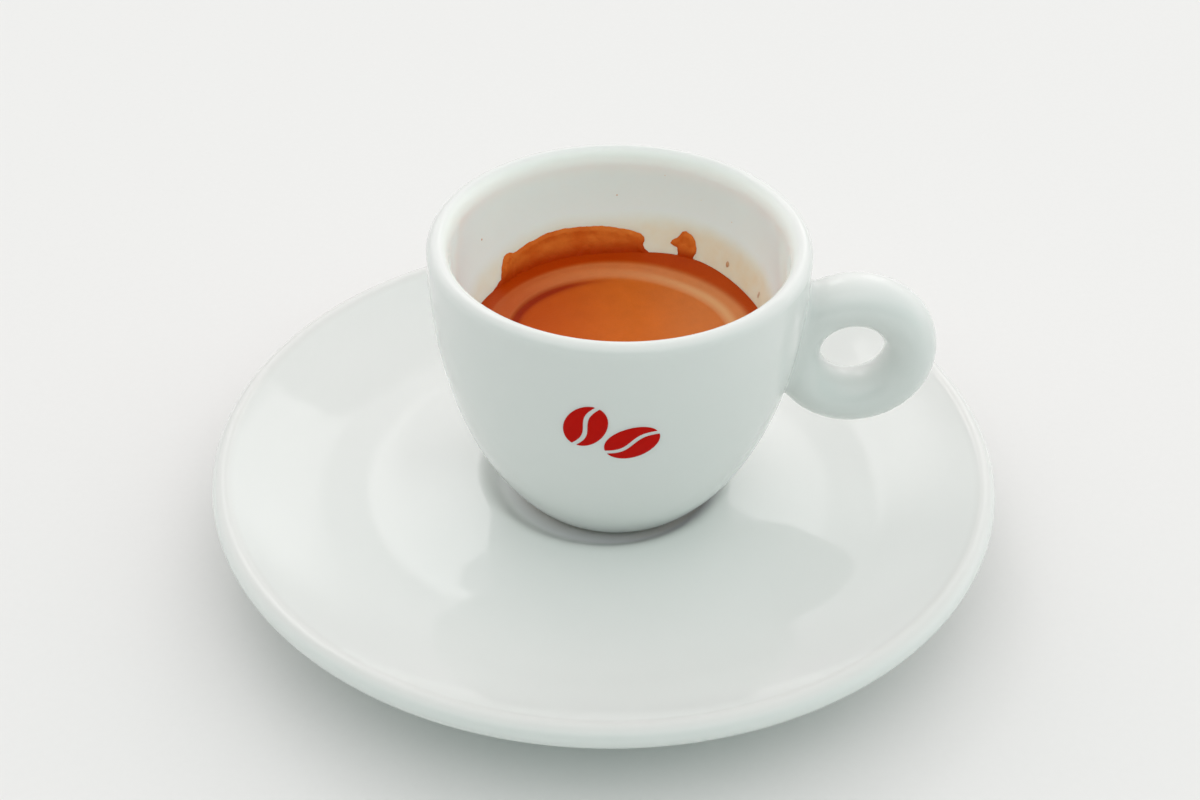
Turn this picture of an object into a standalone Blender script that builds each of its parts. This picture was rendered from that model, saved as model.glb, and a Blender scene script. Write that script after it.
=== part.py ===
"""An espresso shot in its thick porcelain cup, standing in the well of its saucer.

Metres, +Z up. The origin is on the saucer's axis, at the table. The cup stands a little
off that axis, towards +X, with its ring handle pointing along +X.
"""
from math import atan2, cos, exp, hypot, pi, radians, sin, tan

import bpy

MM = 0.001
# Pieces that rest on each other keep this much air between their meshes.
REST_GAP = 0.3 * MM

# Saucer, heights above the table
SAUCER_RADIUS = 62.5 * MM
SAUCER_LIP_HEIGHT = 14.0 * MM
SAUCER_LIP_ROUND = 1.9 * MM
SAUCER_LIP_SLOPE = radians(29)
RISE_SLOPE = radians(15)
VALLEY_RADIUS = 39.4 * MM
VALLEY_HEIGHT = 8.8 * MM
VALLEY_ROUND = 3.0 * MM
WELL_RADIUS = 19.4 * MM
WELL_EDGE_HEIGHT = 12.0 * MM
WELL_FLOOR_HEIGHT = 10.0 * MM
SAUCER_FOOT_OUTER = 34.0 * MM
SAUCER_FOOT_INNER = 31.6 * MM
UNDERSIDE_HEIGHT = 5.2 * MM

# Cup, heights above its own foot
CUP_OFFSET = 1.8 * MM
CUP_LIP_HEIGHT = 43.8 * MM
CUP_LIP_ROUND = 1.64 * MM
CUP_OUTER_RADIUS = 28.78 * MM
CUP_OUTER_DEPTH = 50.5 * MM
CUP_OUTER_POWER = 2.2
CUP_FOOT_RADIUS = 13.9 * MM
CUP_FOOT_WIDTH = 1.8 * MM
CUP_FOOT_RECESS = 1.5 * MM
CAVITY_DEPTH = 38.6 * MM
CAVITY_POWER = 2.25

# Ring handle, a torus in the XZ plane whose tube is wider than it is thick
HANDLE_REACH = 36.3 * MM
HANDLE_HEIGHT = 26.1 * MM
HANDLE_RING_RADIUS = 8.9 * MM
HANDLE_THICKNESS = 8.0 * MM
HANDLE_WIDTH = 9.2 * MM

# Espresso, heights above the cup's foot
CREMA_HEIGHT = 26.6 * MM
CREMA_DISC = 0.75
COLLAR_STEP = 0.45 * MM
COLLAR_LEAN = 0.35 * MM
COLLAR_LEAN_AZIMUTH = radians(-20)
CLIMB_HEIGHT = 1.1 * MM
CLIMB_AZIMUTH = radians(58)
CLIMB_SPREAD = radians(24)

SEGMENTS = 64
ESPRESSO_SEGMENTS = 48
SMOOTH_ANGLE = radians(35)

cup_foot_height = WELL_FLOOR_HEIGHT + REST_GAP
cavity_radius = CUP_OUTER_RADIUS - 2 * CUP_LIP_ROUND


def arc(centre, radius, start, end, steps):
    """Points of an arc in the XZ plane, angles from +X towards +Z."""
    turns = [start + (end - start) * step / steps for step in range(steps + 1)]
    return [(centre[0] + radius * cos(turn), centre[1] + radius * sin(turn)) for turn in turns]


def bend(start, corner, end, steps):
    """Points of a curve that leaves start towards corner and reaches end from it."""
    points = []
    for step in range(steps + 1):
        t = step / steps
        weights = ((1 - t) ** 2, 2 * t * (1 - t), t * t)
        points.append(tuple(
            sum(w * p[axis] for w, p in zip(weights, (start, corner, end))) for axis in (0, 1)))
    return points


def bowl_side(radius, depth, power, turn):
    """One point of a cup's side: turn 0 is at the lip, a quarter turn is the bottom's middle."""
    return radius * cos(turn), CUP_LIP_HEIGHT - depth * sin(turn) ** (2 / power)


def cavity_width(height):
    """Radius of the cup's inner wall at a height above its foot."""
    drop = min(max((CUP_LIP_HEIGHT - height) / CAVITY_DEPTH, 0), 1)
    return cavity_radius * (1 - drop ** CAVITY_POWER) ** 0.5


def turned(name, profile, segments):
    """A solid of revolution about Z. The profile runs down its outer side."""
    mesh = bpy.data.meshes.new(name)
    points = [(x, 0, z) for x, z in profile]
    mesh.from_pydata(points, [(i, i + 1) for i in range(len(points) - 1)], [])
    piece = bpy.data.objects.new(name, mesh)
    screw = piece.modifiers.new("turn", "SCREW")
    screw.steps = segments
    screw.render_steps = segments
    screw.use_merge_vertices = True
    screw.merge_threshold = 0.00001
    return piece


def evaluated_mesh(piece):
    """The piece's mesh with its modifiers applied."""
    bpy.context.view_layer.update()
    depsgraph = bpy.context.evaluated_depsgraph_get()
    return bpy.data.meshes.new_from_object(piece.evaluated_get(depsgraph))


def boolean(piece, other, operation):
    """Cut the piece with the other one, or join it to it."""
    modifier = piece.modifiers.new(other.name, "BOOLEAN")
    modifier.object = other
    modifier.operation = operation
    modifier.solver = "EXACT"


def hide_guide(piece):
    """A cutter or guide shows as a wire and isn't rendered."""
    piece.hide_render = True
    piece.display_type = "WIRE"


def material(name, colour, roughness):
    """A Principled material with no metal in it."""
    surface = bpy.data.materials.new(name)
    surface.use_nodes = True
    shader = surface.node_tree.nodes["Principled BSDF"]
    shader.inputs["Base Color"].default_value = (*colour, 1)
    shader.inputs["Roughness"].default_value = roughness
    shader.inputs["Metallic"].default_value = 0
    return surface


def saucer_profile():
    """Top from the middle out, over the lip, then the underside back to the middle."""
    well_floor = [(0, WELL_FLOOR_HEIGHT)]
    well_wall = bend((WELL_RADIUS - 2.0 * MM, WELL_FLOOR_HEIGHT),
                     (WELL_RADIUS - 0.4 * MM, WELL_FLOOR_HEIGHT),
                     (WELL_RADIUS, WELL_EDGE_HEIGHT), 4)

    mound_slope = (WELL_EDGE_HEIGHT - VALLEY_HEIGHT) / (VALLEY_RADIUS - WELL_RADIUS)
    rise_slope = tan(RISE_SLOPE)
    valley = bend((VALLEY_RADIUS - VALLEY_ROUND, VALLEY_HEIGHT + VALLEY_ROUND * mound_slope),
                  (VALLEY_RADIUS, VALLEY_HEIGHT),
                  (VALLEY_RADIUS + VALLEY_ROUND, VALLEY_HEIGHT + VALLEY_ROUND * rise_slope), 3)

    # The rise steepens towards the lip, where it meets the lip's round without a crease.
    lip_centre = (SAUCER_RADIUS - SAUCER_LIP_ROUND, SAUCER_LIP_HEIGHT)
    lip_start = (lip_centre[0] - SAUCER_LIP_ROUND * sin(SAUCER_LIP_SLOPE),
                 lip_centre[1] + SAUCER_LIP_ROUND * cos(SAUCER_LIP_SLOPE))
    span = lip_start[0] - VALLEY_RADIUS
    curl = lip_start[1] - VALLEY_HEIGHT - span * rise_slope
    curl_power = (tan(SAUCER_LIP_SLOPE) - rise_slope) * span / curl
    rise = []
    for share in (0.35, 0.55, 0.72, 0.87):
        run = share * span
        rise.append((VALLEY_RADIUS + run,
                     VALLEY_HEIGHT + run * rise_slope + curl * share ** curl_power))

    under_slope = radians(24)
    lip = arc(lip_centre, SAUCER_LIP_ROUND, pi / 2 + SAUCER_LIP_SLOPE, 0, 4)
    lip += arc(lip_centre, SAUCER_LIP_ROUND, 0, under_slope - pi / 2, 3)[1:]
    foot_side = (SAUCER_FOOT_OUTER + 1.5 * MM, UNDERSIDE_HEIGHT - 1.0 * MM)
    foot_slope = tan(radians(8))
    corner_x = ((foot_side[1] - foot_slope * foot_side[0] - lip[-1][1]
                 + tan(under_slope) * lip[-1][0]) / (tan(under_slope) - foot_slope))
    corner = (corner_x, foot_side[1] + foot_slope * (corner_x - foot_side[0]))
    underside = bend(lip[-1], corner, foot_side, 6)[1:]
    foot = [(SAUCER_FOOT_OUTER + 0.6 * MM, 0.6 * MM), (SAUCER_FOOT_OUTER, 0),
            (SAUCER_FOOT_INNER, 0), (SAUCER_FOOT_INNER - 0.6 * MM, 0.6 * MM),
            (SAUCER_FOOT_INNER - 1.2 * MM, UNDERSIDE_HEIGHT - 0.8 * MM),
            (SAUCER_FOOT_INNER - 3.0 * MM, UNDERSIDE_HEIGHT), (0, UNDERSIDE_HEIGHT)]
    return well_floor + well_wall + valley + rise + lip + underside + foot


def cup_profile():
    """Inside from the bottom up, over the lip, down the outside and back under the foot."""
    turns = [radians(angle) for angle in (90, 78, 66, 54, 43, 32, 22, 13, 6)]
    inside = [bowl_side(cavity_radius, CAVITY_DEPTH, CAVITY_POWER, turn) for turn in turns]
    lip_centre = (CUP_OUTER_RADIUS - CUP_LIP_ROUND, CUP_LIP_HEIGHT)
    lip = arc(lip_centre, CUP_LIP_ROUND, pi, 0, 8)
    turns = [radians(angle) for angle in (7, 14, 21, 28, 35, 42, 49, 56)]
    outside = [bowl_side(CUP_OUTER_RADIUS, CUP_OUTER_DEPTH, CUP_OUTER_POWER, turn) for turn in turns]
    foot_round = bend(outside[-1], (CUP_FOOT_RADIUS + 1.0 * MM, 0), (CUP_FOOT_RADIUS, 0), 3)[1:]
    foot_inner = CUP_FOOT_RADIUS - CUP_FOOT_WIDTH
    foot = [(foot_inner, 0), (foot_inner - 1.0 * MM, CUP_FOOT_RECESS), (0, CUP_FOOT_RECESS)]
    return inside + lip + outside + foot_round + foot


def wall_core_profile():
    """A solid that ends halfway through the cup's wall."""
    radius = CUP_OUTER_RADIUS - CUP_LIP_ROUND
    depth = (CUP_OUTER_DEPTH + CAVITY_DEPTH) / 2
    turns = [radians(angle) for angle in range(0, 91, 10)]
    side = [bowl_side(radius, depth, CUP_OUTER_POWER, turn) for turn in turns]
    return [(0, CUP_LIP_HEIGHT)] + side


def crema_height(share, azimuth):
    """Height of the crema: a flat disc, then a collar of foam that climbs the wall.

    share is the distance from the axis over the distance to the wall.
    """
    collar = min(max((share - CREMA_DISC + 0.03) / 0.08, 0), 1)
    collar = collar * collar * (3 - 2 * collar)
    slope = min(max((share - CREMA_DISC) / (1 - CREMA_DISC), 0), 1)
    lean = COLLAR_LEAN * cos(azimuth - COLLAR_LEAN_AZIMUTH)
    climb = CLIMB_HEIGHT * exp(-((azimuth - CLIMB_AZIMUTH) / CLIMB_SPREAD) ** 2)
    return CREMA_HEIGHT + COLLAR_STEP * collar + (lean + climb) * slope


def make_espresso():
    """The drink: a turned filling of the cavity whose top gets the crema's relief."""
    shares = (0, 0.4, 0.72, 0.76, 0.8, 0.87, 0.94, 1)
    level_width = cavity_width(CREMA_HEIGHT) - REST_GAP
    top = [(level_width * share, CREMA_HEIGHT) for share in shares]
    side = []
    for angle in (30, 40, 50, 60, 70, 80, 90):
        side.append(bowl_side(cavity_radius - REST_GAP, CAVITY_DEPTH - REST_GAP,
                              CAVITY_POWER, radians(angle)))
    guide = turned("espresso_guide", top + side, ESPRESSO_SEGMENTS)
    scene_collection.objects.link(guide)
    mesh = evaluated_mesh(guide)
    bpy.data.objects.remove(guide)

    for vertex in mesh.vertices:
        x, y, z = vertex.co
        if z < CREMA_HEIGHT - 0.01 * MM:
            continue
        share = hypot(x, y) / level_width
        azimuth = atan2(y, x)
        height = crema_height(share, azimuth)
        reach = share * (cavity_width(height) - REST_GAP)
        vertex.co = (reach * cos(azimuth), reach * sin(azimuth), height)
    mesh.name = "espresso"
    return bpy.data.objects.new("espresso", mesh)


for old in list(bpy.data.objects):
    bpy.data.objects.remove(old)
scene_collection = bpy.context.scene.collection
parts = bpy.data.collections.new("espresso cup and saucer")
guides = bpy.data.collections.new("guides")
scene_collection.children.link(parts)
scene_collection.children.link(guides)

saucer = turned("saucer", saucer_profile(), SEGMENTS)
saucer.data.materials.append(material("saucer porcelain", (0.80, 0.82, 0.80), 0.12))
parts.objects.link(saucer)

cup_place = (CUP_OFFSET, 0, cup_foot_height)
bpy.ops.mesh.primitive_torus_add(
    major_segments=40, minor_segments=16, major_radius=HANDLE_RING_RADIUS,
    minor_radius=HANDLE_THICKNESS / 2, rotation=(pi / 2, 0, 0),
    location=(CUP_OFFSET + HANDLE_REACH, 0, cup_foot_height + HANDLE_HEIGHT))
handle = bpy.context.object
handle.name = "handle ring"
handle.scale = (1, 1, HANDLE_WIDTH / HANDLE_THICKNESS)
for collection in list(handle.users_collection):
    collection.objects.unlink(handle)
guides.objects.link(handle)
hide_guide(handle)

wall_core = turned("wall core", wall_core_profile(), SEGMENTS)
wall_core.location = cup_place
guides.objects.link(wall_core)
hide_guide(wall_core)
boolean(handle, wall_core, "DIFFERENCE")

cup = turned("cup", cup_profile(), SEGMENTS)
cup.location = cup_place
cup.data.materials.append(material("cup porcelain", (0.80, 0.82, 0.80), 0.10))
parts.objects.link(cup)
boolean(cup, handle, "UNION")

espresso = make_espresso()
espresso.location = cup_place
espresso.data.materials.append(material("crema", (0.53, 0.12, 0.022), 0.35))
parts.objects.link(espresso)

for piece in (espresso, saucer, cup):
    piece.data.shade_smooth()
espresso.data.set_sharp_from_angle(angle=SMOOTH_ANGLE)
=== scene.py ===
"""The looks of an espresso shot in its porcelain cup, standing on its saucer.

Lengths are in millimetres until a mesh is made, and heights are over the table or,
for the cup and what is in it, over the cup's own foot.
"""
from math import asin, cos, pi, radians, sin, tan

import bmesh
import bpy
import numpy as np
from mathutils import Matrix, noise


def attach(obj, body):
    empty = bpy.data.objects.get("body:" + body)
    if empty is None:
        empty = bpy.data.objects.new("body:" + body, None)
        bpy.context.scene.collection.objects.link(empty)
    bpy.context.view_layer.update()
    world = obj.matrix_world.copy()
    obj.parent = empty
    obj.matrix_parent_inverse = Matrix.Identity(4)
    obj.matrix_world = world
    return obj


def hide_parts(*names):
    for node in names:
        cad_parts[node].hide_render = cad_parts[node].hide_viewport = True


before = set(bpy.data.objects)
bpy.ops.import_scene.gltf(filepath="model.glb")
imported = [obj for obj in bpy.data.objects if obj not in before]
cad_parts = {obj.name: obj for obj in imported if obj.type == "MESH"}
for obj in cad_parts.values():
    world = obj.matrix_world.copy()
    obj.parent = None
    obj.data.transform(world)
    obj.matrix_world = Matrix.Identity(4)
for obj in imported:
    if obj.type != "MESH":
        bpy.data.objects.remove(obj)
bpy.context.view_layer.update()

# Saucer
# A broad plate of white porcelain, pressed on a wheel and dipped in clear glaze. A well
# for the cup sits in a low mound, and the plate rises from a valley to a rounded lip.
# The foot ring is wiped clean of glaze before firing, so it is matt and a little darker.
SAUCER_RADIUS = 62.5
SAUCER_LIP_HEIGHT = 14.0
SAUCER_LIP_ROUND = 1.9
SAUCER_LIP_SLOPE = radians(29)
SAUCER_RISE_SLOPE = radians(15)
SAUCER_UNDER_SLOPE = radians(24)
VALLEY_RADIUS = 39.4
VALLEY_HEIGHT = 8.3
VALLEY_ROUND = 3.4
WELL_RADIUS = 19.4
WELL_EDGE_HEIGHT = 12.0
WELL_FLOOR_RADIUS = 16.4
WELL_EDGE_RADIUS = 20.8
WELL_FLOOR_HEIGHT = 10.0
SAUCER_FOOT_OUTER = 34.0
SAUCER_FOOT_INNER = 31.6
SAUCER_FOOT_ROUND = 0.6
SAUCER_FOOT_SLOPE = radians(8)
SAUCER_UNDERSIDE_HEIGHT = 5.2
# The cup stands a little off the saucer's axis, and so do the scuffs and the painted shade under it.
CUP_OFFSET = 1.8
# Painted shade and scuffs under the cup fade out between these radii from its axis.
SCUFF_AND_SHADE_FADE = (16.6, 18.6)
FOOT_SHADE_FADE = (15.4, 16.6)
# Radii between which the glaze thins over the lip, and is full again outside it
LIP_THINS = (58.8, 60.4)
LIP_FULL = (61.2, 62.4)
AROUND = 288
# The glaze starts a little over the foot. Below it the bare porcelain is matt.
PORCELAIN_WHITE = (0.80, 0.82, 0.80)
THIN_GLAZE = (0.73, 0.74, 0.72)
# The well's colours are painted shade under the cup mixed with scuffs, and a painted shade darkest at
# the foot.
WELL_SCUFFS_AND_SHADE = (0.76, 0.745, 0.765)
FOOT_PAINTED_SHADE = (0.72, 0.68, 0.66)
BISCUIT = (0.62, 0.59, 0.53)
BISCUIT_ROUGHNESS = 0.78
GLAZE_ROUGHNESS = 0.06
GLAZE_START = 0.3
GLAZE_FADE = 0.1
GLAZE_RIPPLE = 0.04
LIGHT_DEPTH = 1.6
LIGHT_DEPTH_SHARE = 0.6


def arc(centre, radius, start, end, steps):
    """Points of an arc in the XZ plane, angles from +X towards +Z."""
    turns = np.linspace(start, end, steps + 1)
    return [(centre[0] + radius * cos(turn), centre[1] + radius * sin(turn)) for turn in turns]


def bend(start, corner, end, steps):
    """Points of a curve that leaves start towards corner and reaches end from it."""
    start, corner, end = (np.array(point) for point in (start, corner, end))
    shares = np.linspace(0, 1, steps + 1)
    return [tuple((1 - t) ** 2 * start + 2 * t * (1 - t) * corner + t * t * end) for t in shares]


def soft(value, low, high):
    """0 below low and 1 above high, with a soft change between them."""
    share = np.clip((value - low) / (high - low), 0, 1)
    return share * share * (3 - 2 * share)


def soft_lower(first, second, width):
    """The lower of two values, rounded where they cross."""
    blend = np.clip(0.5 + 0.5 * (first - second) / width, 0, 1)
    return first + (second - first) * blend - width * blend * (1 - blend)


def set_mesh(piece):
    """Apply the piece's modifiers and shade it smooth."""
    bpy.context.view_layer.update()
    evaluated = piece.evaluated_get(bpy.context.evaluated_depsgraph_get())
    mesh = bpy.data.meshes.new_from_object(evaluated)
    piece.modifiers.clear()
    piece.data = mesh
    mesh.shade_smooth()
    return piece


def turned(name, profile, steps):
    """A solid of revolution about Z, in metres. The profile runs down its outer side."""
    outline = bpy.data.meshes.new(name)
    outline.from_pydata([(x / 1000, 0, z / 1000) for x, z in profile],
                        [(i, i + 1) for i in range(len(profile) - 1)], [])
    piece = bpy.data.objects.new(name, outline)
    bpy.context.scene.collection.objects.link(piece)
    screw = piece.modifiers.new("turn", "SCREW")
    screw.steps = steps
    screw.render_steps = steps
    screw.use_merge_vertices = True
    screw.merge_threshold = 0.000001
    return set_mesh(piece)


def saucer_top(lip_start):
    """From the well's floor over its edge and the mound, through the valley to the lip."""
    mound_slope = (WELL_EDGE_HEIGHT - VALLEY_HEIGHT) / (VALLEY_RADIUS - WELL_RADIUS)
    rise_slope = tan(SAUCER_RISE_SLOPE)
    span = lip_start[0] - VALLEY_RADIUS
    curl = lip_start[1] - VALLEY_HEIGHT - span * rise_slope
    curl_power = (tan(SAUCER_LIP_SLOPE) - rise_slope) * span / curl
    top = [(0, WELL_FLOOR_HEIGHT), (8, WELL_FLOOR_HEIGHT), (14, WELL_FLOOR_HEIGHT)]
    for radius in np.linspace(WELL_FLOOR_RADIUS, lip_start[0] - 0.3, 90):
        mound = WELL_EDGE_HEIGHT - (radius - WELL_RADIUS) * mound_slope
        out = radius - VALLEY_RADIUS
        rise = VALLEY_HEIGHT + out * rise_slope + curl * (max(out, 0) / span) ** curl_power
        over_floor = -soft_lower(-mound, -rise, VALLEY_ROUND) - WELL_FLOOR_HEIGHT
        share = soft(radius, WELL_FLOOR_RADIUS, WELL_EDGE_RADIUS)
        top.append((radius, WELL_FLOOR_HEIGHT + over_floor * share))
    return top


def saucer_underside(lip_end):
    """From the lip down a hollow slope to the foot ring, under it and back to the middle."""
    floor = SAUCER_UNDERSIDE_HEIGHT
    outer, inner = SAUCER_FOOT_OUTER, SAUCER_FOOT_INNER
    foot_side = (outer + 1.5, floor - 1.0)
    foot_slope = tan(SAUCER_FOOT_SLOPE)
    under_slope = tan(SAUCER_UNDER_SLOPE)
    corner_x = ((foot_side[1] - foot_slope * foot_side[0] - lip_end[1] + under_slope * lip_end[0])
                / (under_slope - foot_slope))
    corner = (corner_x, foot_side[1] + foot_slope * (corner_x - foot_side[0]))
    points = bend(lip_end, corner, foot_side, 20)[1:]
    points += bend(foot_side, (outer + 0.6, foot_side[1]), (outer + 0.6, foot_side[1] - 1.2), 5)[1:]
    points += bend((outer + 0.5, SAUCER_FOOT_ROUND), (outer + 0.3, 0), (outer - 0.2, 0), 4)
    points += bend((inner + 0.2, 0), (inner - 0.4, 0), (inner - 0.6, SAUCER_FOOT_ROUND), 4)
    points += bend((inner - 1.1, floor - 1.2), (inner - 1.3, floor), (inner - 3.0, floor), 5)
    return points + [(20, floor), (10, floor), (0, floor)]


def saucer_profile():
    """Top from the middle out, over the lip, then the underside back to the middle."""
    lip_centre = (SAUCER_RADIUS - SAUCER_LIP_ROUND, SAUCER_LIP_HEIGHT)
    lip_start = (lip_centre[0] - SAUCER_LIP_ROUND * sin(SAUCER_LIP_SLOPE),
                 lip_centre[1] + SAUCER_LIP_ROUND * cos(SAUCER_LIP_SLOPE))
    lip = arc(lip_centre, SAUCER_LIP_ROUND, pi / 2 + SAUCER_LIP_SLOPE,
              SAUCER_UNDER_SLOPE - pi / 2, 24)
    return saucer_top(lip_start) + lip + saucer_underside(lip[-1])


def points_of(mesh):
    """The mesh's points in millimetres."""
    points = np.empty(len(mesh.vertices) * 3)
    mesh.vertices.foreach_get("co", points)
    return points.reshape(-1, 3) * 1000


def give_share(mesh, name, values):
    """Store one number from 0 to 1 for each point, for the material to read."""
    mesh.attributes.new(name, "FLOAT", "POINT").data.foreach_set("value", values)


def mark_saucer(mesh):
    """Where the saucer's glaze runs thin over the lip, where the cup's foot scuffs the well, and where
    shade is painted under the cup.
    """
    points = points_of(mesh)
    reach = np.hypot(points[:, 0], points[:, 1])
    from_cup = np.hypot(points[:, 0] - CUP_OFFSET, points[:, 1])
    in_well = points[:, 2] > WELL_FLOOR_HEIGHT - 0.5
    give_share(mesh, "lip", soft(reach, *LIP_THINS) * (1 - soft(reach, *LIP_FULL)))
    give_share(mesh, "scuffs_and_shade", (1 - soft(from_cup, *SCUFF_AND_SHADE_FADE)) * in_well)
    # A painted shade ring close round the cup's foot.
    give_share(mesh, "foot_shade", 1 - soft(from_cup, *FOOT_SHADE_FADE))


def shader_of(material):
    """The material's node tree and its Principled shader."""
    material.use_nodes = True
    tree = material.node_tree
    return tree, tree.nodes["Principled BSDF"]


def math_node(tree, operation, first, second=None, third=None):
    """A Math node's output; each value is a number or another node's output."""
    node = tree.nodes.new("ShaderNodeMath")
    node.operation = operation
    for socket, value in zip(node.inputs, (first, second, third)):
        if value is None:
            continue
        if isinstance(value, (int, float)):
            socket.default_value = value
        else:
            tree.links.new(value, socket)
    return node.outputs[0]


def smooth_step(tree, value, low, high):
    """0 below low and 1 above high, with a soft change between them."""
    node = tree.nodes.new("ShaderNodeMapRange")
    node.interpolation_type = "SMOOTHSTEP"
    node.inputs["From Min"].default_value = low
    node.inputs["From Max"].default_value = high
    tree.links.new(value, node.inputs["Value"])
    return node.outputs["Result"]


def scaled(colour, factor):
    """A lighter or darker shade of a colour."""
    return tuple(value * factor for value in colour)


def mixed(tree, share, first, second):
    """A colour between two others, each a triple or a node's output."""
    node = tree.nodes.new("ShaderNodeMix")
    node.data_type = "RGBA"
    colours = [socket for socket in node.inputs if socket.type == "RGBA"]
    for socket, value in zip(colours, (first, second)):
        if isinstance(value, tuple):
            socket.default_value = (*value, 1)
        else:
            tree.links.new(value, socket)
    tree.links.new(share, node.inputs[0])
    return [socket for socket in node.outputs if socket.type == "RGBA"][0]


def noise_node(tree, place, scale, detail=2.0, roughness=0.5):
    """A noise pattern over the object; scale is in waves for each metre."""
    node = tree.nodes.new("ShaderNodeTexNoise")
    node.inputs["Scale"].default_value = scale
    node.inputs["Detail"].default_value = detail
    node.inputs["Roughness"].default_value = roughness
    tree.links.new(place, node.inputs["Vector"])
    return node.outputs["Fac"]


def object_place(tree):
    """The point on the object, in metres."""
    return tree.nodes.new("ShaderNodeTexCoord").outputs["Object"]


def axes_of(tree, vector):
    """The three numbers of a point or direction."""
    split = tree.nodes.new("ShaderNodeSeparateXYZ")
    tree.links.new(vector, split.inputs[0])
    return split.outputs["X"], split.outputs["Y"], split.outputs["Z"]


def add_bump(tree, shader, height, depth, strength=0.5):
    """Relief from a height pattern, depth in millimetres."""
    node = tree.nodes.new("ShaderNodeBump")
    node.inputs["Strength"].default_value = strength
    node.inputs["Distance"].default_value = depth / 1000
    tree.links.new(height, node.inputs["Height"])
    tree.links.new(node.outputs["Normal"], shader.inputs["Normal"])


def share_of(tree, name):
    """A point's stored number, as a node's output."""
    node = tree.nodes.new("ShaderNodeAttribute")
    node.attribute_name = name
    return node.outputs["Fac"]


def uneven_share(tree, name, pattern, gain, base):
    """A point's stored number, made uneven by a pattern."""
    factor = math_node(tree, "MULTIPLY_ADD", pattern, gain, base)
    return math_node(tree, "MULTIPLY", share_of(tree, name), factor)


def glazed_porcelain(name):
    """White porcelain under clear glaze, thin over the lip and left bare at the foot."""
    material = bpy.data.materials.new(name)
    tree, shader = shader_of(material)
    place = object_place(tree)
    height = axes_of(tree, place)[2]
    glazed = smooth_step(tree, height, GLAZE_START / 1000, (GLAZE_START + GLAZE_FADE) / 1000)
    cloud = noise_node(tree, place, 45, 3)
    tint = mixed(tree, cloud, PORCELAIN_WHITE, scaled(PORCELAIN_WHITE, 0.975))
    tint = mixed(tree, share_of(tree, "lip"), tint, THIN_GLAZE)
    grit = noise_node(tree, place, 4000, 2)
    bare = mixed(tree, grit, BISCUIT, scaled(BISCUIT, 0.85))
    tree.links.new(mixed(tree, glazed, bare, tint), shader.inputs["Base Color"])
    smoother = GLAZE_ROUGHNESS - BISCUIT_ROUGHNESS
    roughness = math_node(tree, "MULTIPLY_ADD", glazed, smoother, BISCUIT_ROUGHNESS)
    tree.links.new(roughness, shader.inputs["Roughness"])
    add_bump(tree, shader, noise_node(tree, place, 160, 1), GLAZE_RIPPLE)
    shader.inputs["Subsurface Weight"].default_value = LIGHT_DEPTH_SHARE
    shader.inputs["Subsurface Radius"].default_value = (1.0, 1.0, 1.0)
    shader.inputs["Subsurface Scale"].default_value = LIGHT_DEPTH / 1000
    return material


def scuff_and_shade_well(glaze):
    """Grey the well's floor: scuffs from the cup's bare foot mixed with painted shade under the cup,
    darkest at the foot.
    """
    tree, shader = shader_of(glaze)
    clean = shader.inputs["Base Color"].links[0].from_socket
    streaks = noise_node(tree, object_place(tree), 600, 3)
    scuffed_and_shaded = uneven_share(tree, "scuffs_and_shade", streaks, 0.5, 0.7)
    grey = mixed(tree, share_of(tree, "foot_shade"), WELL_SCUFFS_AND_SHADE, FOOT_PAINTED_SHADE)
    tree.links.new(mixed(tree, scuffed_and_shaded, clean, grey), shader.inputs["Base Color"])


saucer = turned("saucer", saucer_profile(), AROUND)
mark_saucer(saucer.data)
saucer_glaze = glazed_porcelain("saucer glaze")
scuff_and_shade_well(saucer_glaze)
saucer.data.materials.append(saucer_glaze)
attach(saucer, "root")
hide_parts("saucer")

# Cup
# A thick bowl of slip-cast porcelain with a rounded lip. Its ring handle is cast apart
# and stuck on with slip, wiped to a wider round above than below, and the whole is
# glazed but for the foot. A thin stain of coffee has dried on the inner wall.
CUP_REST_GAP = 0.3
CUP_LIP_HEIGHT = 43.8
CUP_LIP_ROUND = 1.64
CUP_LIP_SHOULDER = 3.0
CUP_OUTER_RADIUS = 28.78
CUP_OUTER_DEPTH = 50.5
CUP_OUTER_POWER = 2.2
CUP_FOOT_RADIUS = 13.9
CUP_FOOT_WIDTH = 1.8
CUP_FOOT_RECESS = 1.5
CAVITY_RADIUS = CUP_OUTER_RADIUS - 2 * CUP_LIP_ROUND
CAVITY_DEPTH = 38.6
CAVITY_POWER = 2.25
# The handle is a ring of oval section, upright and in line with the cup's middle.
HANDLE_REACH = 36.3
HANDLE_HEIGHT = 26.1
HANDLE_RING_RADIUS = 8.9
HANDLE_THICKNESS = 8.0
HANDLE_WIDTH = 9.2
JOIN_ROUND_ABOVE = 2.4
JOIN_ROUND_BELOW = 1.6
JOIN_MERGE = 0.22
JOIN_PASSES = 14
# The inside is painted whiter and cooler than the outside, a painted light that offsets
# the crema's warm bounce, and it has a painted glow in place of light through the wall.
# The stain's upper edge is a list of azimuths in degrees with the height there.
INNER_PAINTED_LIGHT_WHITE = (0.84, 0.985, 0.975)
SHOULDER_PAINTED_LIGHT_WHITE = (0.90, 0.92, 0.885)
SHOULDER_FADE = (40.0, 44.2)
LIP_THIN_SHARE = 0.3
PAINTED_GLOW = (0.74, 1.0, 0.95)
PAINTED_GLOW_STRENGTH = 0.072
COFFEE_STAIN = (0.80, 0.67, 0.43)
STAIN_EDGE = [(-40, 27.0), (5, 30.2), (23, 32.8), (48, 33.8), (62, 34.1), (77, 33.9), (94, 33.2),
              (113, 33.4), (131, 32.6), (142, 31.6), (155, 31.0), (170, 29.0), (190, 26.0)]
cup_place = (CUP_OFFSET / 1000, 0, (WELL_FLOOR_HEIGHT + CUP_REST_GAP) / 1000)


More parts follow.
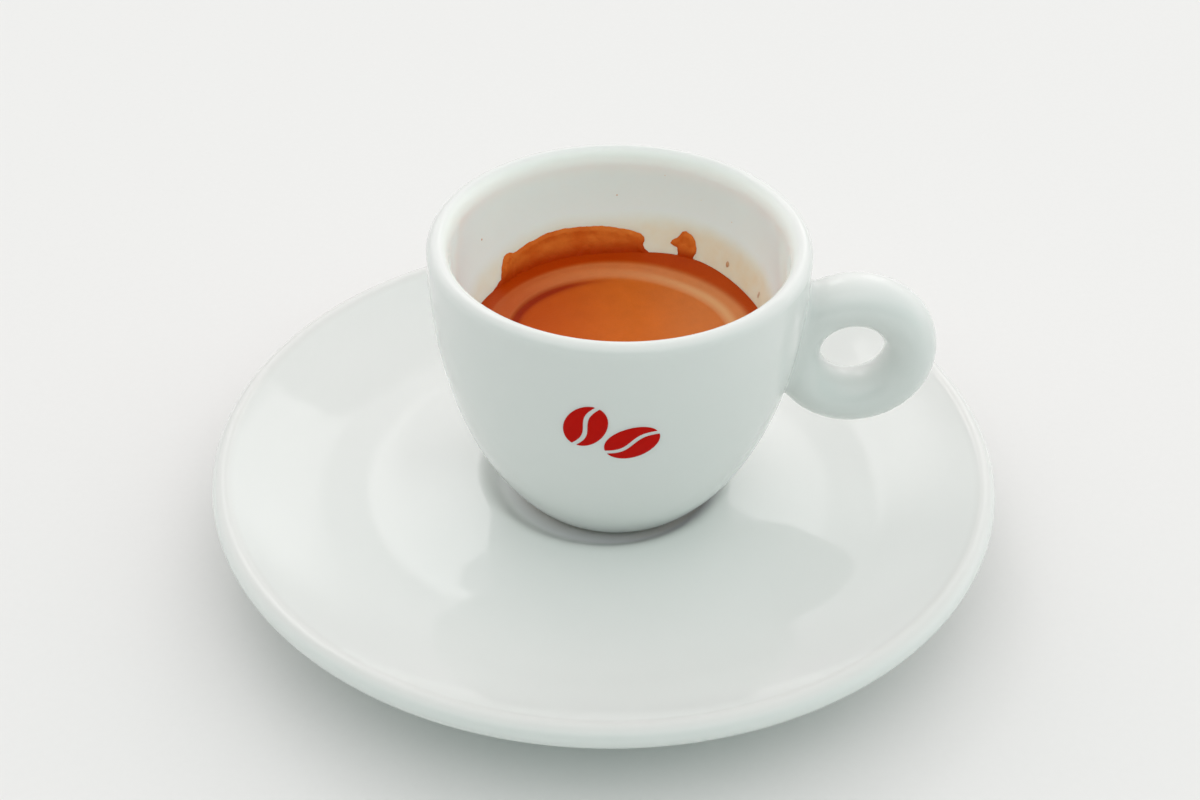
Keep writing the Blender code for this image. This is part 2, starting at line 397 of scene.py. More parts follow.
def bowl_side(radius, depth, power, turn):
    """One point of a bowl's side: turn 0 is at the lip, a quarter turn is the bottom's middle."""
    return radius * cos(turn), CUP_LIP_HEIGHT - depth * sin(turn) ** (2 / power)


def bowl_width(height, radius, depth, power):
    """Radius of a bowl's side at a height over the foot."""
    drop = np.clip((CUP_LIP_HEIGHT - height) / depth, 0, 0.9999)
    return radius * np.sqrt(1 - drop ** power)


def outer_width(height):
    """Radius of the cup's outer side at a height over the foot."""
    return bowl_width(height, CUP_OUTER_RADIUS, CUP_OUTER_DEPTH, CUP_OUTER_POWER)


def cavity_width(height):
    """Radius of the cup's inner wall at a height over the foot."""
    return bowl_width(height, CAVITY_RADIUS, CAVITY_DEPTH, CAVITY_POWER)


def cup_profile():
    """Inside from the bottom up, over the lip, down the outside and back under the foot."""
    shoulder_drop = CUP_LIP_SHOULDER - CUP_LIP_ROUND
    last_turn = asin((shoulder_drop / CAVITY_DEPTH) ** (CAVITY_POWER / 2))
    inside = [bowl_side(CAVITY_RADIUS, CAVITY_DEPTH, CAVITY_POWER, turn)
              for turn in np.linspace(pi / 2, last_turn, 106)]
    lip_middle = CUP_OUTER_RADIUS - CUP_LIP_ROUND
    wall, shoulder_foot = inside[-1]
    shoulder = [(lip_middle - (lip_middle - wall) * cos(turn),
                 shoulder_foot + CUP_LIP_SHOULDER * sin(turn))
                for turn in np.linspace(0, pi / 2, 24)[1:-1]]
    lip = arc((lip_middle, CUP_LIP_HEIGHT), CUP_LIP_ROUND, pi / 2, 0, 14)
    outside = [bowl_side(CUP_OUTER_RADIUS, CUP_OUTER_DEPTH, CUP_OUTER_POWER, turn)
               for turn in np.linspace(0.04, radians(56), 64)]
    foot = bend(outside[-1], (CUP_FOOT_RADIUS + 1.0, 0), (CUP_FOOT_RADIUS, 0), 8)[1:]
    inner = CUP_FOOT_RADIUS - CUP_FOOT_WIDTH
    foot += bend((inner, 0), (inner - 0.6, 0), (inner - 0.8, 0.6), 4)
    foot += bend((inner - 0.9, CUP_FOOT_RECESS - 0.4), (inner - 1.0, CUP_FOOT_RECESS),
                 (inner - 1.6, CUP_FOOT_RECESS), 4)
    middle = [(5, CUP_FOOT_RECESS), (0, CUP_FOOT_RECESS)]
    return inside + shoulder + lip + outside + foot + middle


def wall_core_profile():
    """A solid that ends halfway through the cup's wall, to trim the handle with."""
    depth = (CUP_OUTER_DEPTH + CAVITY_DEPTH) / 2
    side = [bowl_side(CUP_OUTER_RADIUS - CUP_LIP_ROUND, depth, CUP_OUTER_POWER, turn)
            for turn in np.linspace(0, pi / 2, 30)]
    return [(0, CUP_LIP_HEIGHT)] + side


def body_gap(points):
    """Distance from the bowl's outer side, negative inside, for points in millimetres."""
    step = 0.2
    width = outer_width(points[:, 2])
    lean = (outer_width(points[:, 2] + step) - outer_width(points[:, 2] - step)) / (2 * step)
    return (np.hypot(points[:, 0], points[:, 1]) - width) / np.sqrt(1 + lean ** 2)


def ring_gap(points):
    """Distance from the handle's ring, negative inside, for points in millimetres."""
    across = np.hypot(points[:, 0] - HANDLE_REACH, points[:, 2] - HANDLE_HEIGHT)
    side = points[:, 1] * HANDLE_THICKNESS / HANDLE_WIDTH
    return np.hypot(across - HANDLE_RING_RADIUS, side) - HANDLE_THICKNESS / 2


def joined_gap(points):
    """Distance from bowl and ring together, with a round join that is wider above."""
    rise = np.clip((points[:, 2] - HANDLE_HEIGHT) / HANDLE_RING_RADIUS, -1, 1)
    join = JOIN_ROUND_BELOW + (JOIN_ROUND_ABOVE - JOIN_ROUND_BELOW) * (rise + 1) / 2
    return soft_lower(body_gap(points), ring_gap(points), join)


def slopes(gap, points):
    """Direction in which a gap grows fastest, for each point."""
    step = 0.02
    changes = []
    for axis in range(3):
        shift = np.zeros(3)
        shift[axis] = step
        changes.append((gap(points + shift) - gap(points - shift)) / (2 * step))
    return np.stack(changes, axis=1)


def near_join(points):
    """Which points lie close to where the ring meets the bowl's outer side."""
    body = body_gap(points)
    return (np.abs(body - ring_gap(points)) < JOIN_ROUND_ABOVE) & (body > -0.6)


def onto_join(points):
    """Points moved onto the joined surface, along its slope."""
    for _ in range(3):
        grade = slopes(joined_gap, points)
        points = points - joined_gap(points)[:, None] * grade / (grade ** 2).sum(axis=1)[:, None]
    return points


def smooth_join(mesh):
    """Spread the points near the handle's ends evenly over the round join."""
    work = bmesh.new()
    work.from_mesh(mesh)
    work.verts.ensure_lookup_table()
    close = [work.verts[i] for i in np.flatnonzero(near_join(points_of(mesh)))]
    bmesh.ops.remove_doubles(work, verts=close, dist=JOIN_MERGE / 1000)
    work.verts.ensure_lookup_table()
    places = np.array([vertex.co for vertex in work.verts]) * 1000
    moved = [work.verts[i] for i in np.flatnonzero(near_join(places))]
    for _ in range(JOIN_PASSES):
        bmesh.ops.smooth_vert(work, verts=moved, factor=0.5,
                              use_axis_x=True, use_axis_y=True, use_axis_z=True)
        places = onto_join(np.array([vertex.co for vertex in moved]) * 1000)
        for vertex, place in zip(moved, places):
            vertex.co = place / 1000
    work.to_mesh(mesh)
    work.free()
    mesh.shade_smooth()
    mesh.update()


def true_normals(mesh):
    """Shade the outer side by its true slope, and the lip, foot and inside as they are."""
    points = points_of(mesh)
    normals = np.empty(len(points) * 3)
    mesh.vertex_normals.foreach_get("vector", normals)
    normals = normals.reshape(-1, 3)
    outer = np.abs(joined_gap(points)) < 0.05
    outer &= (points[:, 2] > 1.8) & (points[:, 2] < CUP_LIP_HEIGHT - 0.2)
    grade = slopes(joined_gap, points[outer])
    normals[outer] = grade / np.linalg.norm(grade, axis=1)[:, None]
    mesh.normals_split_custom_set_from_vertices(normals)


def boolean(piece, other, operation):
    """Cut the piece with the other one, or join it to it."""
    modifier = piece.modifiers.new("cut", "BOOLEAN")
    modifier.object = other
    modifier.operation = operation
    modifier.solver = "EXACT"
    set_mesh(piece)
    bpy.data.objects.remove(other)


def round_share(azimuth, centre, spread):
    """1 at an azimuth and less away from it; azimuth in radians, the others in degrees."""
    turn = (azimuth - radians(centre) + pi) % (2 * pi) - pi
    return np.exp(-(turn / radians(spread)) ** 2)


def mark_cup(mesh):
    """Where the bowl's glaze is thin, where its inside is painted lighter, and where coffee has stained
    it.
    """
    points = points_of(mesh)
    radius, height = np.hypot(points[:, 0], points[:, 1]), points[:, 2]
    depth = outer_width(np.minimum(height, CUP_LIP_HEIGHT)) - radius
    azimuth = np.arctan2(points[:, 1], points[:, 0])
    degrees = np.degrees(azimuth + (azimuth < radians(-60)) * 2 * pi)
    angles, tops = zip(*STAIN_EDGE)
    below_edge = soft(np.interp(degrees, angles, tops) - height, -1.8, 2.4)
    strength = 0.55 + 0.45 * round_share(azimuth, 36, 42)
    over_lip = soft(height, CUP_LIP_HEIGHT - 0.6, CUP_LIP_HEIGHT + 0.9)
    give_share(mesh, "lip", LIP_THIN_SHARE * over_lip)
    give_share(mesh, "inside", soft(depth, 1.8, 3.0) * (height > CUP_FOOT_RECESS + 2))
    give_share(mesh, "deep", 1 - soft(height, *SHOULDER_FADE))
    give_share(mesh, "stain", below_edge * strength * (depth > 1.7))


def stain_inside(glaze):
    """Give the bowl's inside its painted lighter, cooler white, a painted glow and the coffee stain."""
    tree, shader = shader_of(glaze)
    outside = shader.inputs["Base Color"].links[0].from_socket
    streaks = noise_node(tree, object_place(tree), 420, 3)
    stain = uneven_share(tree, "stain", streaks, 0.5, 0.55)
    # Painted light: the inside is whiter and cooler than the outer glaze, cooler lower down, to offset
    # the crema's warm bounce.
    clean = mixed(tree, share_of(tree, "deep"), SHOULDER_PAINTED_LIGHT_WHITE, INNER_PAINTED_LIGHT_WHITE)
    stained = mixed(tree, stain, clean, COFFEE_STAIN)
    inside = share_of(tree, "inside")
    tree.links.new(mixed(tree, inside, outside, stained), shader.inputs["Base Color"])
    # Painted glow: the inside emits a little light, standing in for light through the wall.
    painted_glow = mixed(tree, inside, (0.0, 0.0, 0.0), PAINTED_GLOW)
    tree.links.new(painted_glow, shader.inputs["Emission Color"])
    shader.inputs["Emission Strength"].default_value = PAINTED_GLOW_STRENGTH


bpy.ops.mesh.primitive_torus_add(
    major_segments=180, minor_segments=96, major_radius=HANDLE_RING_RADIUS / 1000,
    minor_radius=HANDLE_THICKNESS / 2000, rotation=(pi / 2, 0, 0),
    location=(HANDLE_REACH / 1000, 0, HANDLE_HEIGHT / 1000))
handle = bpy.context.object
handle.scale = (1, 1, HANDLE_WIDTH / HANDLE_THICKNESS)
bpy.ops.object.transform_apply(location=True, rotation=True, scale=True)
boolean(handle, turned("wall core", wall_core_profile(), 128), "DIFFERENCE")

cup = turned("cup", cup_profile(), AROUND)
boolean(cup, handle, "UNION")
smooth_join(cup.data)
true_normals(cup.data)
mark_cup(cup.data)
cup.location = cup_place
cup_glaze = glazed_porcelain("cup glaze")
stain_inside(cup_glaze)
cup.data.materials.append(cup_glaze)
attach(cup, "root")
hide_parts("cup")

# Espresso
# A single shot with its crema, a fine dense foam. A flat disc lies in the middle, a
# raised collar of paler foam runs round it, and the foam climbs the wall, wetter and
# redder there. Its colours also carry painted light: a painted highlight on the collar
# at the right, and painted shade on the disc's left, in the line round its left-back
# edge, and in the dark border, which is also wet foam.
CREMA_HEIGHT = 26.6
CREMA_DISC_RADIUS = 16.8
COLLAR_STEP = 0.27
COLLAR_CROWN = 0.30
COLLAR_RIPPLE = 0.02
CREMA_ORANGE = (0.56, 0.117, 0.009)
CREMA_COLLAR = (0.62, 0.185, 0.054)
# Paler foam, and the painted highlight on the collar's right side.
CREMA_PALER_AND_HIGHLIGHT = (0.68, 0.34, 0.15)
# Dark wet foam, also used as painted shade on the crema's left.
CREMA_DARK = (0.435, 0.038, 0.0)
# Painted shade in the line round the disc's left-back edge.
CREMA_GROOVE_SHADE = (0.28, 0.016, 0.0)
FOAM_ROUGHNESS = 0.42
FOAM_SHEEN = 0.08
BUBBLE_DEPTH = 0.04


def contact_height(azimuth):
    """Height at which the crema meets the wall, by azimuth in radians."""
    climb = 1.25 * np.exp(-((azimuth - radians(60)) / radians(24)) ** 2)
    back = 0.35 * np.exp(-((azimuth - radians(115)) / radians(30)) ** 2)
    return CREMA_HEIGHT + 0.45 + 0.25 * np.cos(azimuth + radians(20)) + climb + back


def disc_edge(azimuth):
    """Radius at which the flat disc meets the collar."""
    return CREMA_DISC_RADIUS + 0.25 * np.sin(3 * azimuth + 0.6) + 0.15 * np.sin(5 * azimuth)


def crema_relief(radius, azimuth):
    """Height of the crema's top over the cup's foot."""
    out = radius - disc_edge(azimuth)
    left = round_share(azimuth, 165, 55)
    step = COLLAR_STEP * soft(out, 0, 0.9 - 0.4 * left) * (1 + 0.5 * left)
    crown = COLLAR_CROWN * np.exp(-((out - 2.1) / 2.1) ** 2)
    reach = cavity_width(CREMA_HEIGHT + 0.8) - disc_edge(azimuth)
    climb = np.clip((out - 2.5) / (reach - 2.5), 0, 1) ** 2.2
    waves = np.sin(2.1 * radius + 2 * np.sin(2 * azimuth))
    ripple = COLLAR_RIPPLE * waves * soft(out, 0.8, 2) * (1 - climb)
    base = CREMA_HEIGHT + step + crown + ripple
    return base + (contact_height(azimuth) - base) * climb


def foam_shares(radius, azimuth):
    """Shares of collar foam, paler foam with a painted highlight at the right, dark wet foam with
    painted shade, and a painted shade line round the disc.
    """
    out = radius - disc_edge(azimuth)
    sideways = radius * np.cos(azimuth)
    right = round_share(azimuth, 32, 42)
    left = round_share(azimuth, 160, 42)
    turn = np.degrees(azimuth) % 360
    collar = soft(out, -0.15, 0.7) * (1 - soft(out, 3.6, 5.2))
    # Painted highlight: the paler streak is strongest at the right, where the light falls, and the disc
    # pales towards the right.
    paler_foam_and_highlight = np.exp(-((out - 1.2) / 1.0) ** 2) * (0.05 + 0.90 * right)
    paler_foam_and_highlight = np.maximum(paler_foam_and_highlight, 0.18 * soft(sideways, 2, 14) * (1 - soft(out, 4, 5.5)))
    # Painted shade: the dark border reaches further in on the left, and the disc darkens towards its
    # left side.
    inward = 1.3 * left + 0.5 * right
    border = 0.93 * soft(out, 3.9 - inward, 5.6 - inward) * (1 - 0.12 * right)
    border = np.maximum(border, 0.68 * left * soft(out, 0, 1))
    shade = 0.66 * soft(-sideways, -4, 15) * (1 - soft(out, -0.5, 0))
    # Painted shade in the crease at the disc's edge, at the left and back.
    left_back = soft(turn, 84, 135) * (1 - soft(turn, 200, 240))
    painted_groove_shade = np.minimum(1.25 * np.exp(-((out + 0.35) / 0.75) ** 2) * left_back, 1)
    return collar, paler_foam_and_highlight, np.maximum(border, shade), painted_groove_shade


def grid_faces(rows, columns, first=0):
    """Quads between rows of points that close into rings."""
    faces = []
    for row in range(rows - 1):
        for column in range(columns):
            following = (column + 1) % columns
            a, b = first + row * columns, first + (row + 1) * columns
            faces.append((a + column, b + column, b + following, a + following))
    return faces


def new_piece(name, points, faces):
    """A smooth-shaded mesh object from points in millimetres."""
    mesh = bpy.data.meshes.new(name)
    mesh.from_pydata((np.asarray(points) / 1000).tolist(), [], faces)
    mesh.shade_smooth()
    piece = bpy.data.objects.new(name, mesh)
    bpy.context.scene.collection.objects.link(piece)
    return piece


def make_espresso():
    """A polar grid for the crema's top, closed below by a side just inside the wall."""
    azimuths = np.linspace(-pi, pi, AROUND, endpoint=False)
    rings = []
    for share in np.concatenate([np.linspace(0.02, 0.66, 24), np.linspace(0.67, 1, 72)]):
        reach = share * (cavity_width(contact_height(azimuths)) + 0.15)
        rings.append((reach, crema_relief(reach, azimuths)))
    for turn in np.linspace(0.45, pi / 2 - 0.04, 24):
        reach, height = bowl_side(CAVITY_RADIUS - 0.2, CAVITY_DEPTH - 0.2, CAVITY_POWER, turn)
        if height < CREMA_HEIGHT - 0.8:
            rings.append((reach, np.full(AROUND, height)))
    points = [(0, 0, CREMA_HEIGHT)]
    for reach, height in rings:
        points += list(zip(reach * np.cos(azimuths), reach * np.sin(azimuths), height))
    faces = [(0, 1 + column, 1 + (column + 1) % AROUND) for column in range(AROUND)]
    faces += grid_faces(len(rings), AROUND, 1)
    last = 1 + (len(rings) - 1) * AROUND
    faces.append(tuple(last + column for column in reversed(range(AROUND))))
    piece = new_piece("espresso", points, faces)
    x, y, _ = np.array(points).T
    shares = foam_shares(np.hypot(x, y), np.arctan2(y, x))
    for name, values in zip(("collar", "paler_foam_and_highlight", "wet_foam_and_shade", "painted_groove_shade"), shares):
        give_share(piece.data, name, values)
    return piece


def foam_finish(tree, shader, place, depth):
    """The foam's fine bubbles, their depth in millimetres, and its slight wet sheen."""
    bubbles = tree.nodes.new("ShaderNodeTexVoronoi")
    bubbles.inputs["Scale"].default_value = 3400
    tree.links.new(place, bubbles.inputs["Vector"])
    lumps = noise_node(tree, place, 700, 3)
    height = math_node(tree, "MULTIPLY_ADD", lumps, 2.0, bubbles.outputs["Distance"])
    add_bump(tree, shader, height, depth)
    shader.inputs["Roughness"].default_value = FOAM_ROUGHNESS
    shader.inputs["Specular IOR Level"].default_value = FOAM_SHEEN


def crema_material():
    """Fine foam: an orange disc, a collar with a painted highlight at the right, and a dark red border
    of wet foam with painted shade.
    """
    material = bpy.data.materials.new("crema")
    tree, shader = shader_of(material)
    place = object_place(tree)
    mottle = noise_node(tree, place, 260, 6, 0.66)
    swirl = noise_node(tree, place, 95, 2)
    disc = mixed(tree, mottle, scaled(CREMA_ORANGE, 0.84), scaled(CREMA_ORANGE, 1.17))
    collar = mixed(tree, mottle, scaled(CREMA_COLLAR, 0.86), scaled(CREMA_COLLAR, 1.15))
    colour = mixed(tree, share_of(tree, "collar"), disc, collar)
    colour = mixed(tree, share_of(tree, "paler_foam_and_highlight"), colour, CREMA_PALER_AND_HIGHLIGHT)
    colour = mixed(tree, uneven_share(tree, "wet_foam_and_shade", swirl, 0.3, 0.83), colour, CREMA_DARK)
    colour = mixed(tree, uneven_share(tree, "painted_groove_shade", mottle, 0.4, 0.75), colour, CREMA_GROOVE_SHADE)
    tree.links.new(colour, shader.inputs["Base Color"])
    foam_finish(tree, shader, place, BUBBLE_DEPTH)
    return material


espresso = make_espresso()
espresso.location = cup_place
espresso.data.materials.append(crema_material())
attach(espresso, "root")
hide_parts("espresso")

# Crema film
# Foam that stayed on the inner wall as the crema settled: a wide patch at the back left
# and a blob at the back right, with a few splashed drops drying above them. Outlines are
# azimuths in degrees with heights.
FILM_OUTLINE = [(160, 25.0), (156, 26.2), (148, 26.9), (142.5, 27.8), (141.2, 29.0), (139.6, 30.5),
                (138.6, 31.0), (137.2, 31.2), (135.6, 31.2), (134.0, 30.8), (132.0, 30.9), (129.0, 31.2),
                (123.0, 31.7), (118.0, 32.05), (113.0, 32.2), (107.5, 32.1), (102.5, 32.05), (98, 31.9),
                (94.0, 31.8), (90.0, 31.5), (86.0, 31.3), (83.5, 31.0), (81.6, 30.8), (80.2, 30.3),
                (79.9, 29.6), (80.4, 29.0), (79.6, 28.3), (77.8, 27.8), (74, 27.6), (66, 28.0),
                (57, 28.2), (51, 28.0), (41, 27.4), (24, 26.7), (20, 25.0)]
BLOB_OUTLINE = [(67.0, 27.0), (66.0, 28.6), (66.6, 29.5), (69.6, 30.0), (69.2, 30.5), (67.2, 31.0),
                (66.2, 31.6), (65.4, 32.3), (63.9, 32.6), (61.8, 32.2), (59.8, 31.3), (58.7, 30.3),
                (58.9, 29.3), (59.6, 28.6), (59.0, 27.0)]
FILM_COLUMNS = np.linspace(radians(20), radians(160), 500)
FILM_ROWS = np.linspace(25.6, 33.6, 88)
FILM_THICKNESS = 0.22
FILM_SUNK = 0.12
FILM_BROWN = (0.65, 0.126, 0.013)
FILM_ORANGE = (0.74, 0.188, 0.027)
FILM_BUBBLE_DEPTH = 0.06
# Drops: azimuth, height, half width, half height and faintness
DROPS = [(43.8, 29.9, 0.42, 0.62, 0.0), (23.0, 29.1, 0.38, 0.75, 0.35), (91.0, 37.3, 0.22, 0.22, 0.7),
         (149.0, 36.2, 0.24, 0.26, 0.5), (73.7, 41.6, 0.2, 0.2, 1.0), (45.2, 37.1, 0.16, 0.2, 0.9),
         (59.2, 38.7, 0.15, 0.15, 1.0)]
DROP_TAN = (0.66, 0.43, 0.27)
DROP_ORANGE = (0.62, 0.30, 0.13)
DROP_FAINT = (0.80, 0.72, 0.60)
DROP_BUBBLE_DEPTH = 0.03


def inside_outline(outline, azimuth, height):
    """How far a place on the wall lies inside an outline, in millimetres; negative outside."""
    width = cavity_width(30.0)
    corners = [(radians(angle) * width, top) for angle, top in outline]
    across = azimuth * width
    nearest = np.full(across.shape, 99.0)
    crossings = np.zeros(across.shape, dtype=int)
    for (ax, ay), (bx, by) in zip(corners, corners[1:] + corners[:1]):
        run, rise = bx - ax, by - ay
        along = ((across - ax) * run + (height - ay) * rise) / (run ** 2 + rise ** 2)
        along = np.clip(along, 0, 1)
        nearest = np.minimum(nearest, np.hypot(across - ax - along * run, height - ay - along * rise))
        crosses = (ay > height) != (by > height)
        crossings += crosses & (across < ax + (height - ay) / (rise or 1e-9) * run)
    return np.where(crossings % 2 == 1, nearest, -nearest)


def slab_faces(rows, columns, first=0):
    """Quads of a closed slab: a front grid of points, a back grid after it, and the rim."""
    count = rows * columns
    faces = []
    for row in range(rows - 1):
        for column in range(columns - 1):
            a = first + row * columns + column
            b = a + columns
            faces.append((a, a + 1, b + 1, b))
            faces.append((count + a, count + b, count + b + 1, count + a + 1))
    rim = [row * columns for row in range(rows)]
    rim += [(rows - 1) * columns + column for column in range(1, columns)]
    rim += [row * columns + columns - 1 for row in reversed(range(rows - 1))]
    rim += [column for column in reversed(range(1, columns - 1))]
    for a, b in zip(rim, rim[1:] + rim[:1]):
        faces.append((first + a, first + b, first + count + b, first + count + a))
    return faces


def make_film():
    """A sheet over the wall that dips under the glaze where there is no foam."""
    azimuth, height = np.meshgrid(FILM_COLUMNS, FILM_ROWS, indexing="ij")
    inside = np.maximum(inside_outline(FILM_OUTLINE, azimuth, height),
                        inside_outline(BLOB_OUTLINE, azimuth, height) + 0.05)
    rough = np.array([[noise.noise((a * 24, h * 0.9, 3.0)) for h in FILM_ROWS] for a in FILM_COLUMNS])
    inside = inside + 0.13 * rough
    cover = np.clip((inside + 0.1) / 0.7, 0, 1)
    ridge = 1 + 0.7 * np.exp(-((np.degrees(azimuth) - 138.5) / 2.0) ** 2)
    thinned = 1 - 0.45 * soft(inside, 0.5, 1.8)
    uneven = thinned * ridge * (1 + 0.5 * rough * cover)
    thick = (FILM_THICKNESS + FILM_SUNK) * np.sqrt(cover) * uneven - FILM_SUNK
    points = []
    for width in (cavity_width(height) - thick, cavity_width(height) + 0.4):
        sides = (width * np.cos(azimuth), width * np.sin(azimuth), height)
        points.append(np.stack(sides, axis=2).reshape(-1, 3))
    piece = new_piece("crema_film", np.concatenate(points), slab_faces(*azimuth.shape))
    fade = 1.8 + 1.2 * (azimuth > radians(75))
    low = 1 - soft(height - contact_height(azimuth), 0, fade)
    give_share(piece.data, "low", np.tile(low.ravel(), 2))
    return piece


def film_material():
    """Foam drying on the wall: orange-brown and streaky, and redder where it meets the drink."""
    material = bpy.data.materials.new("crema film")
    tree, shader = shader_of(material)
    place = object_place(tree)
    streaks = smooth_step(tree, noise_node(tree, place, 210, 4, 0.6), 0.3, 0.7)
    colour = mixed(tree, streaks, FILM_BROWN, FILM_ORANGE)
    colour = mixed(tree, share_of(tree, "low"), colour, CREMA_DARK)
    tree.links.new(colour, shader.inputs["Base Color"])
    foam_finish(tree, shader, place, FILM_BUBBLE_DEPTH)
    return material


def make_drops():
    """Flat domes on the inner wall, one for each splash."""
    points, faces, faint = [], [], []
    around, rings = 20, 6
    for angle, centre, half_width, half_height, faintness in DROPS:
        first = len(points)
        middle = radians(angle)
        width = cavity_width(centre)
        thick = 0.06 + 0.16 * (1 - faintness)
        tip = width - thick
        points.append((tip * cos(middle), tip * sin(middle), centre))
        for ring in range(1, rings + 1):
            share = ring / rings
            proud = thick * (1 - share ** 2) - 0.1 * share
            for step in range(around):
                turn = 2 * pi * step / around
                height = centre + share * half_height * sin(turn)
                azimuth = middle + share * half_width * cos(turn) / width
                reach = cavity_width(height) - proud
                points.append((reach * cos(azimuth), reach * sin(azimuth), height))
        faces += [(first, first + 1 + (step + 1) % around, first + 1 + step) for step in range(around)]
        faces += [tuple(reversed(face)) for face in grid_faces(rings, around, first + 1)]
        faint += [faintness] * (1 + rings * around)
    piece = new_piece("crema_drops", points, faces)
    give_share(piece.data, "faint", faint)
    return piece


def drop_material():
    """Thin drops, tan to orange, that pale into the glaze where they are faint."""
    material = bpy.data.materials.new("dried drops")
    tree, shader = shader_of(material)
    place = object_place(tree)
    colour = mixed(tree, noise_node(tree, place, 1500, 2), DROP_TAN, DROP_ORANGE)
    colour = mixed(tree, share_of(tree, "faint"), colour, DROP_FAINT)
    tree.links.new(colour, shader.inputs["Base Color"])
    foam_finish(tree, shader, place, DROP_BUBBLE_DEPTH)
    return material


for piece, finish in ((make_film(), film_material()), (make_drops(), drop_material())):
    piece.location = cup_place
    piece.data.materials.append(finish)
    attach(piece, "root")

# Bean ornament
# Two coffee beans in red ceramic ink on the cup's front, printed as a transfer and fired
# on under a last coat of glaze. Each place is across, up and tilt.
ORNAMENT_AZIMUTH = radians(-92.3)
ORNAMENT_HEIGHT = 29.6
ORNAMENT_PROUD = 0.03
ORNAMENT_SUNK = 0.3
BEAN_PLACES = [(-3.4, 1.6, radians(66)), (3.3, -1.4, radians(28))]
BEAN_LENGTH = 8.8
BEAN_WIDTH = 6.0
BEAN_SEAM = 0.7
BEAN_SEAM_SWING = 0.55
ORNAMENT_RED = (0.50, 0.004, 0.001)
ORNAMENT_ROUGHNESS = 0.18
ORNAMENT_SHEEN = 0.05


def on_front(across, up, proud):
    """A point of the cup's front, from a place on the flat ornament, in millimetres."""
    height = ORNAMENT_HEIGHT + up * 0.97
    width = outer_width(height) + proud
    azimuth = ORNAMENT_AZIMUTH + across / outer_width(ORNAMENT_HEIGHT)
    return width * cos(azimuth), width * sin(azimuth), height


def lobe_places(side, rows, columns):
    """Places over one lobe, from the bean's curved seam out to its rim."""
    places = []
    for row in range(rows):
        along = -cos(pi * row / (rows - 1))
        rim = BEAN_WIDTH / 2 * (1 - (along * 0.985) ** 2) ** 0.5
        seam = BEAN_SEAM_SWING * sin(pi * along) + side * BEAN_SEAM / 2
        end = side * max(rim, side * seam + 0.02)
        for column in range(columns):
            share = column / (columns - 1)
            places.append((along * (BEAN_LENGTH / 2 - 0.2), seam + (end - seam) * share))
    return places


def make_ornament():
    """Each bean is two lobes on either side of a curved seam."""
    points, faces = [], []
    rows, columns = 49, 11
    for centre_x, centre_y, tilt in BEAN_PLACES:
        for side in (-1, 1):
            lobe = slab_faces(rows, columns, len(points))
            faces += lobe if side < 0 else [tuple(reversed(face)) for face in lobe]
            for proud in (ORNAMENT_PROUD, -ORNAMENT_SUNK):
                for x, y in lobe_places(side, rows, columns):
                    points.append(on_front(centre_x + x * cos(tilt) - y * sin(tilt),
                                           centre_y + x * sin(tilt) + y * cos(tilt), proud))
    return new_piece("bean_ornament", points, faces)


def ornament_material():
    """Red ceramic ink under glaze, a little uneven."""
    material = bpy.data.materials.new("red ceramic ink")
    tree, shader = shader_of(material)
    cloud = noise_node(tree, object_place(tree), 900, 3)
    colour = mixed(tree, cloud, ORNAMENT_RED, scaled(ORNAMENT_RED, 1.2))
    tree.links.new(colour, shader.inputs["Base Color"])
    shader.inputs["Roughness"].default_value = ORNAMENT_ROUGHNESS
    shader.inputs["Specular IOR Level"].default_value = ORNAMENT_SHEEN
    return material


ornament = make_ornament()
ornament.location = cup_place
ornament.data.materials.append(ornament_material())
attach(ornament, "root")

# Table
# A plain pale table top with a matt paint, so wide that no view shows its edge near
# the saucer.
TABLE_SIZE = 40
TABLE_DARKER = (0.80, 0.80, 0.79)
TABLE_PALER = (0.82, 0.82, 0.81)
TABLE_ROUGHNESS = 0.6
TABLE_SHEEN = 0.2
bpy.ops.mesh.primitive_plane_add(size=TABLE_SIZE, location=(0, 0, 0))
table = bpy.context.object
table.name = "table"
table_paint = bpy.data.materials.new("table paint")
tree, shader = shader_of(table_paint)
grain = noise_node(tree, object_place(tree), 900, 4)
tree.links.new(mixed(tree, grain, TABLE_DARKER, TABLE_PALER), shader.inputs["Base Color"])
shader.inputs["Roughness"].default_value = TABLE_ROUGHNESS
shader.inputs["Specular IOR Level"].default_value = TABLE_SHEEN
table.data.materials.append(table_paint)

# Light
# Soft daylight: a wide window behind the cup with a brighter pane at each side, an even
# pale ceiling, some light from both sides, and a dimmer and cooler room low in front.
# The camera sees a plain backdrop.
ROOM_BRIGHTNESS = 0.237
CEILING_BRIGHTNESS = 1.085
BEHIND_BRIGHTNESS = 0.44
RIGHT_BRIGHTNESS = 0.150
SIDE_BRIGHTNESS = 0.35
CEILING_BEHIND_OVERLAP = -0.761
WINDOW_BRIGHTNESS = 0.45
LEFT_PANE_BRIGHTNESS = 1.25
RIGHT_PANE_BRIGHTNESS = 0.7
COOL_ROOM = (0.62, 0.985, 0.92)
WARM_DAYLIGHT = (1.034, 1.0, 1.0)
BACKDROP = (0.83, 0.83, 0.82)


def added(tree, pattern, strength, base):
    """A brightness with a pattern's own added to it."""
    return math_node(tree, "MULTIPLY_ADD", pattern, strength, base)


def both(tree, first, second):
    """Two patterns multiplied."""
    return math_node(tree, "MULTIPLY", first, second)


world = bpy.data.worlds.new("room")
bpy.context.scene.world = world
world.use_nodes = True
tree = world.node_tree
direction = tree.nodes.new("ShaderNodeTexCoord").outputs["Generated"]
right, back, up = axes_of(tree, direction)
ceiling = smooth_step(tree, up, 0.25, 0.87)
behind = smooth_step(tree, back, -0.44, 0.1)

